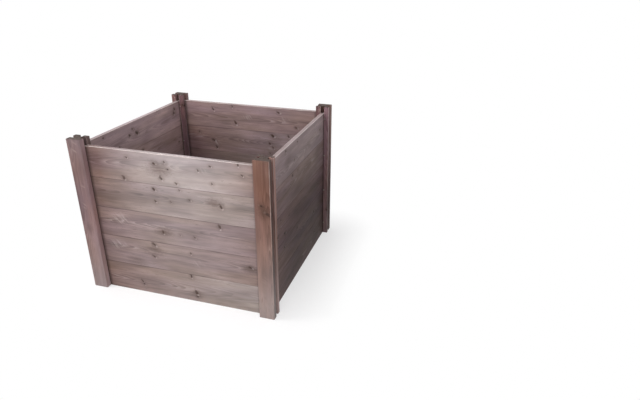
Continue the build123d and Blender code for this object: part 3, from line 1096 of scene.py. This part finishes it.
# %% Saw for the kerfs
BOX_SIGNS = [(x, y, z) for z in (-1, 1) for x, y in ((-1, -1), (1, -1), (1, 1), (-1, 1))]
BOX_FACES = ((3, 2, 1, 0), (4, 5, 6, 7), (0, 1, 5, 4), (1, 2, 6, 5), (2, 3, 7, 6), (3, 0, 4, 7))
kerf_size = (2 * KERF_DEPTH, KERF_WIDTH, KERF_HEIGHT)
kerf_points, kerf_faces = [], []
for end in (-1, 1):
    first = len(kerf_points)
    middle = (end * BOARD_LENGTH / 2, 0.0, 0.0)
    for signs in BOX_SIGNS:
        kerf_points.append([m + sign * size / 2 for m, sign, size in zip(middle, signs, kerf_size)])
    kerf_faces += [tuple(first + corner for corner in face) for face in BOX_FACES]
kerf_saw = mesh_object("kerf_saw", kerf_points, kerf_faces)
print("kerfs:", KERF_DEPTH / MM, "mm deep")

# %% Boards
for wall, (along, middle) in walls.items():
    along, up = Vector(along), Vector((0, 0, 1))
    through = up.cross(along)
    for course in range(1, BOARDS_PER_WALL + 1):
        name = f"{wall}_board_{course}"
        board_z = (course - 0.5) * BOARD_HEIGHT
        knots = on_course(WALL_KNOTS[wall], board_z)
        if wall != "front":
            knots += chance_knots(BOARD_LENGTH, BOARD_HEIGHT, *CHANCE_BOARD_KNOTS)
        cut = log_cut()
        green, blue = (share + chance.uniform(-HUE_SPREAD, HUE_SPREAD) for share in WALL_HUES[wall])
        centre = Vector(middle) + up * board_z + through * chance.uniform(-SETTLE, SETTLE)
        board = make_plank(
            f"{name}_pine",
            (BOARD_LENGTH, BOARD_THICKNESS, BOARD_HEIGHT),
            BOARD_ARRIS,
            Matrix.Translation(centre) @ Matrix((along, through, up)).transposed().to_4x4(),
            kerf_saw,
            knots,
            on_course(WALL_SMUDGES[wall], board_z),
            {
                "Wood": board_pine,
                "Tint": stain(WALL_STAIN_AND_LIGHT[wall][course - 1], green, blue),
                "Grey veil": WALL_GREY_VEIL[wall][course - 1],
                "Bleach": WALL_BLEACH[wall],
                "Edge shade": WALL_EDGE_SHADES[wall],
                # The top board's upper edge is pale: wear and a painted highlight where the sky lights it
                "Pale edge": (0.0, float(course == BOARDS_PER_WALL), 0.0),
                **cut,
            },
        )
        stand_in(board, name, name)
bpy.data.objects.remove(kerf_saw)
print("boards:", len(walls) * BOARDS_PER_WALL, "of", len(board.data.polygons), "faces each")

# %% [markdown]
# ## Corner posts
# Each post is a wide batten on the outside, a core behind it and two strips on the inside. The
# gaps between them are three slots: two hold the walls that meet at the post, and the outer one is
# spare. The four pieces are planks on end, bored together for the screws.

# %% Post sizes
POST_HEIGHT = 0.800
POST_WIDTH, BATTEN_THICKNESS, POST_ARRIS = 0.076, 0.028, 0.002
CORE_WIDTH, SLOT_WIDTH = 0.038, 0.0215
STRIP_WIDTH, STRIP_THICKNESS, STRIP_ARRIS = (POST_WIDTH - SLOT_WIDTH) / 2, 0.020, 0.001
BATTEN_Y = WALL_Y + (SLOT_WIDTH + BATTEN_THICKNESS) / 2
STRIP_Y = WALL_Y - (SLOT_WIDTH + STRIP_THICKNESS) / 2
STRIP_X = (SLOT_WIDTH + STRIP_WIDTH) / 2

# Sides along X and Y
posts = {"front_left": (-1, -1), "front_right": (1, -1), "rear_left": (-1, 1), "rear_right": (1, 1)}

# Place beside the middle of the post, place along Y, width, depth and arris
post_pieces = {
    "outer_batten": (0.0, BATTEN_Y, POST_WIDTH, BATTEN_THICKNESS, POST_ARRIS),
    "core": (0.0, WALL_Y, CORE_WIDTH, SLOT_WIDTH, STRIP_ARRIS),
    "inner_strip_left": (-STRIP_X, STRIP_Y, STRIP_WIDTH, STRIP_THICKNESS, STRIP_ARRIS),
    "inner_strip_right": (STRIP_X, STRIP_Y, STRIP_WIDTH, STRIP_THICKNESS, STRIP_ARRIS),
}
print("posts:", len(posts), "of", len(post_pieces), "pieces,", POST_HEIGHT, "m high")

# %% Knots, stain and painted light of the posts
# Places in metres up from the middle and across, radius, and for smudges the depth
POST_KNOTS = {"front_right_post_outer_batten": [(0.156, 0.021, 0.013), (0.192, -0.007, 0.009)]}
CHANCE_POST_KNOTS = (0, 2)
POST_SMUDGES = {
    "front_left_post_outer_batten": [
        (0.361, 0.0, 0.026, -0.9), (0.175, 0.005, 0.022, -0.8), (0.063, -0.005, 0.02, -0.7),
        (-0.06, 0.0, 0.03, 0.4),
    ],
    "front_right_post_outer_batten": [(0.165, 0.0, 0.035, 0.8), (-0.2, 0.0, 0.03, -0.3)],
}

# Level of the stain, and green and blue against red; the other pieces take theirs by chance. The cores are
# darkened as painted shade in the slots, and the right inner strip of the front right post is lightened as
# painted light
SLOT_SHADE = (0.32, 0.84, 0.76)
POST_STAIN_AND_LIGHT = {
    **{f"{post}_post_core": SLOT_SHADE for post in posts},
    "front_left_post_outer_batten": (1.2, 1.18, 1.53),
    "front_left_post_inner_strip_left": (0.75, 1.05, 1.2),
    "front_left_post_inner_strip_right": (0.7, 1.05, 1.2),
    "front_right_post_outer_batten": (0.86, 0.96, 0.96),
    "front_right_post_inner_strip_right": (2.1, 1.04, 1.12),
    "rear_right_post_inner_strip_right": (1.45, 1.05, 1.4),
    "rear_left_post_inner_strip_right": (1.0, 1.0, 1.38),
}
CHANCE_STAINS = ((0.9, 1.15), (1.0, 1.08), (1.1, 1.35))

# Grey veil at the foot, the middle and the top; the front posts are paler towards the foot
POST_GREY_VEIL = {"front_left": (0.72, 0.06, 0.24), "front_right": (1.15, 0.18, 0.06)}
REAR_POST_GREY_VEIL = (0.4, 0.15, 0.0)
POST_BLEACH = {-1: NO_BLEACH, 1: (0.35, 0.0, 0.0)}
# The right-hand side faces of the front battens: painted light on the left post's, painted shade on the right
# post's
POST_EDGE_SHADES = {"front_left_post_outer_batten": 0.4, "front_right_post_outer_batten": -0.45}

# The edges that face away from the bin are the palest, worn and with a painted highlight; the edges that face
# in are darker, a painted shade where the batten meets the boards
POST_PALE_EDGES = {-1: (1.0, 0.3, 0.0), 1: (0.3, 1.0, 0.0)}
print("post pieces with a stain of their own:", len(POST_STAIN_AND_LIGHT))

# %% Drill for the screw holes
SCREWS_PER_STRIP, SCREW_END_DISTANCE = 4, 0.070
SCREW_PITCH = (POST_HEIGHT - 2 * SCREW_END_DISTANCE) / (SCREWS_PER_STRIP - 1)
SCREW_OFFSET = (CORE_WIDTH + SLOT_WIDTH) / 4
BIT_SIDES = 24

# Depth from the strip's face and radius: out of the wood, end of the head's land, cone, tip
BIT_PROFILE = ((-0.001, 0.0041), (0.0004, 0.0041), (0.0024, 0.0021), (0.0596, 0.0021))


def drill(side_x, side_y):
    # All screw holes of one post: each is a countersink and a shank, turned about the screw's axis
    points, faces = [], []
    face_y = side_y * (STRIP_Y - STRIP_THICKNESS / 2)
    turns = [2 * math.pi * i / BIT_SIDES for i in range(BIT_SIDES)]
    for offset in (-SCREW_OFFSET, SCREW_OFFSET):
        x = side_x * WALL_X + offset
        for row in range(SCREWS_PER_STRIP):
            z = SCREW_END_DISTANCE + row * SCREW_PITCH
            rings = []
            for depth, radius in BIT_PROFILE:
                y = face_y + side_y * depth
                rings.append(range(len(points), len(points) + BIT_SIDES))
                points += [(x + radius * math.cos(turn), y, z + radius * math.sin(turn)) for turn in turns]
            faces += [list(rings[0]), list(rings[-1])[::-1]]
            for near, far in zip(rings, rings[1:]):
                faces += [(near[i - 1], far[i - 1], far[i], near[i]) for i in range(BIT_SIDES)]
    bits = mesh_object("drill", points, faces)
    if side_y < 0:
        bits.data.flip_normals()
    return bits


print("screws:", SCREWS_PER_STRIP, "in each strip,", round(SCREW_PITCH / MM), "mm apart")

# %% Posts
# A plank on end: its length stands up, its thickness runs to the front, its width to the right
upright = Matrix(((0, 0, 1), (0, -1, 0), (1, 0, 0))).to_4x4()
for post, (side_x, side_y) in posts.items():
    bits = drill(side_x, side_y)
    for piece, (offset, piece_y, width, depth, arris) in post_pieces.items():
        name = f"{post}_post_{piece}"
        cut = log_cut()
        by_chance = [chance.uniform(*spread) for spread in CHANCE_STAINS]
        knots = POST_KNOTS.get(name) or chance_knots(POST_HEIGHT, width, *CHANCE_POST_KNOTS)
        place = Matrix.Translation((side_x * WALL_X + offset, side_y * piece_y, POST_HEIGHT / 2)) @ upright
        bits.matrix_world = place.inverted()
        plank = make_plank(
            f"{name}_pine",
            (POST_HEIGHT, depth, width),
            arris,
            place,
            bits,
            knots,
            POST_SMUDGES.get(name, []),
            {
                "Wood": post_pine,
                "Tint": stain(*POST_STAIN_AND_LIGHT.get(name, by_chance)),
                "Grey veil": POST_GREY_VEIL.get(post, REAR_POST_GREY_VEIL),
                "Bleach": POST_BLEACH[side_y],
                "Edge shade": POST_EDGE_SHADES.get(name, 0.0),
                "Pale edge": POST_PALE_EDGES[side_x],
                **cut,
            },
        )
        stand_in(plank, name, "posts")
    bpy.data.objects.remove(bits)
print("post pieces:", len(posts) * len(post_pieces), "with", 2 * SCREWS_PER_STRIP, "screw holes in each post")

# %% [markdown]
# ## Clips and screws
# The end clips and the screws keep their solids from the engineering model, since their shapes are
# right as they are, and get their finishes here. A clip slides in its slot every time that a board
# is lifted, so its green plastic has pale scuffs that run up and down. The screws hold the posts
# together and only show their heads, on the inside of the bin.

# %% Moulded polypropylene
# Moulded polypropylene: an even dark green, waxy, with a fine grained skin and pale scuffs
SKIN_GRAIN, SKIN_DEPTH, CLOUD = 0.6 * MM, 0.05 * MM, 22 * MM
SCUFF = (3 * MM, 3 * MM, 40 * MM)
SCUFF_SPAN = {"From Min": 0.58, "From Max": 0.72, "To Max": 0.5}
clip_plastic, tree, shader = new_material("moulded_polypropylene")
spot = add_node(tree, "ShaderNodeTexCoord").outputs["Object"]
skin = {"Vector": spot, "Scale": 1 / SKIN_GRAIN, "Detail": 2.0}
skin = add_node(tree, "ShaderNodeTexNoise", skin).outputs["Fac"]
cloud = {"Vector": spot, "Scale": 1 / CLOUD, "Detail": 2.0}
cloud = add_node(tree, "ShaderNodeTexNoise", cloud).outputs["Fac"]
stretched = add_node(tree, "ShaderNodeVectorMath", {0: spot, 1: SCUFF}, operation="DIVIDE")
scuffed = {"Vector": stretched, "Scale": 1.0, "Detail": 3.0}
scuffed = add_node(tree, "ShaderNodeTexNoise", scuffed).outputs["Fac"]
scuffed = add_node(tree, "ShaderNodeMapRange", {"Value": scuffed, **SCUFF_SPAN})
green = {"Factor": cloud, "A": linear("#1f3d33"), "B": linear("#2f5347")}
green = add_node(tree, "ShaderNodeMix", green, data_type="RGBA")
green = {"Factor": scuffed, "A": green, "B": linear("#6f8a80")}
green = add_node(tree, "ShaderNodeMix", green, data_type="RGBA")
waxy = add_node(tree, "ShaderNodeMapRange", {"Value": scuffed, "To Min": 0.42, "To Max": 0.75})
grained = add_node(tree, "ShaderNodeBump", {"Height": skin, "Strength": 0.4, "Distance": SKIN_DEPTH})
plug(tree, shader, {"Base Color": green, "Roughness": waxy, "Normal": grained, "IOR": 1.49})
print("clip plastic:", len(tree.nodes), "nodes, skin grain", SKIN_GRAIN / MM, "mm")

# %% Zinc-plated steel
# Zinc-plated steel: a bright grey metal, clouded by its thin yellow passivation
STEEL_CLOUD = 2.5 * MM
screw_steel, tree, shader = new_material("zinc_plated_steel")
spot = add_node(tree, "ShaderNodeTexCoord").outputs["Object"]
cloud = {"Vector": spot, "Scale": 1 / STEEL_CLOUD, "Detail": 3.0}
cloud = add_node(tree, "ShaderNodeTexNoise", cloud).outputs["Fac"]
zinc = {"Factor": cloud, "A": linear("#c9c7bf"), "B": linear("#a89f86")}
zinc = add_node(tree, "ShaderNodeMix", zinc, data_type="RGBA")
dulled = add_node(tree, "ShaderNodeMapRange", {"Value": cloud, "To Min": 0.28, "To Max": 0.55})
plug(tree, shader, {"Base Color": zinc, "Roughness": dulled, "Metallic": 1.0})
print("screw steel:", len(tree.nodes), "nodes, clouds of", STEEL_CLOUD / MM, "mm")

# %% Finishes on the kept solids
finishes = {"_end_clips": clip_plastic, "_post_screws": screw_steel}
finished = 0
for name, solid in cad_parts.items():
    for ending, finish in finishes.items():
        if name.endswith(ending):
            for slot in solid.material_slots:
                slot.material = finish
            finished += 1
print("kept solids with a finish:", finished)
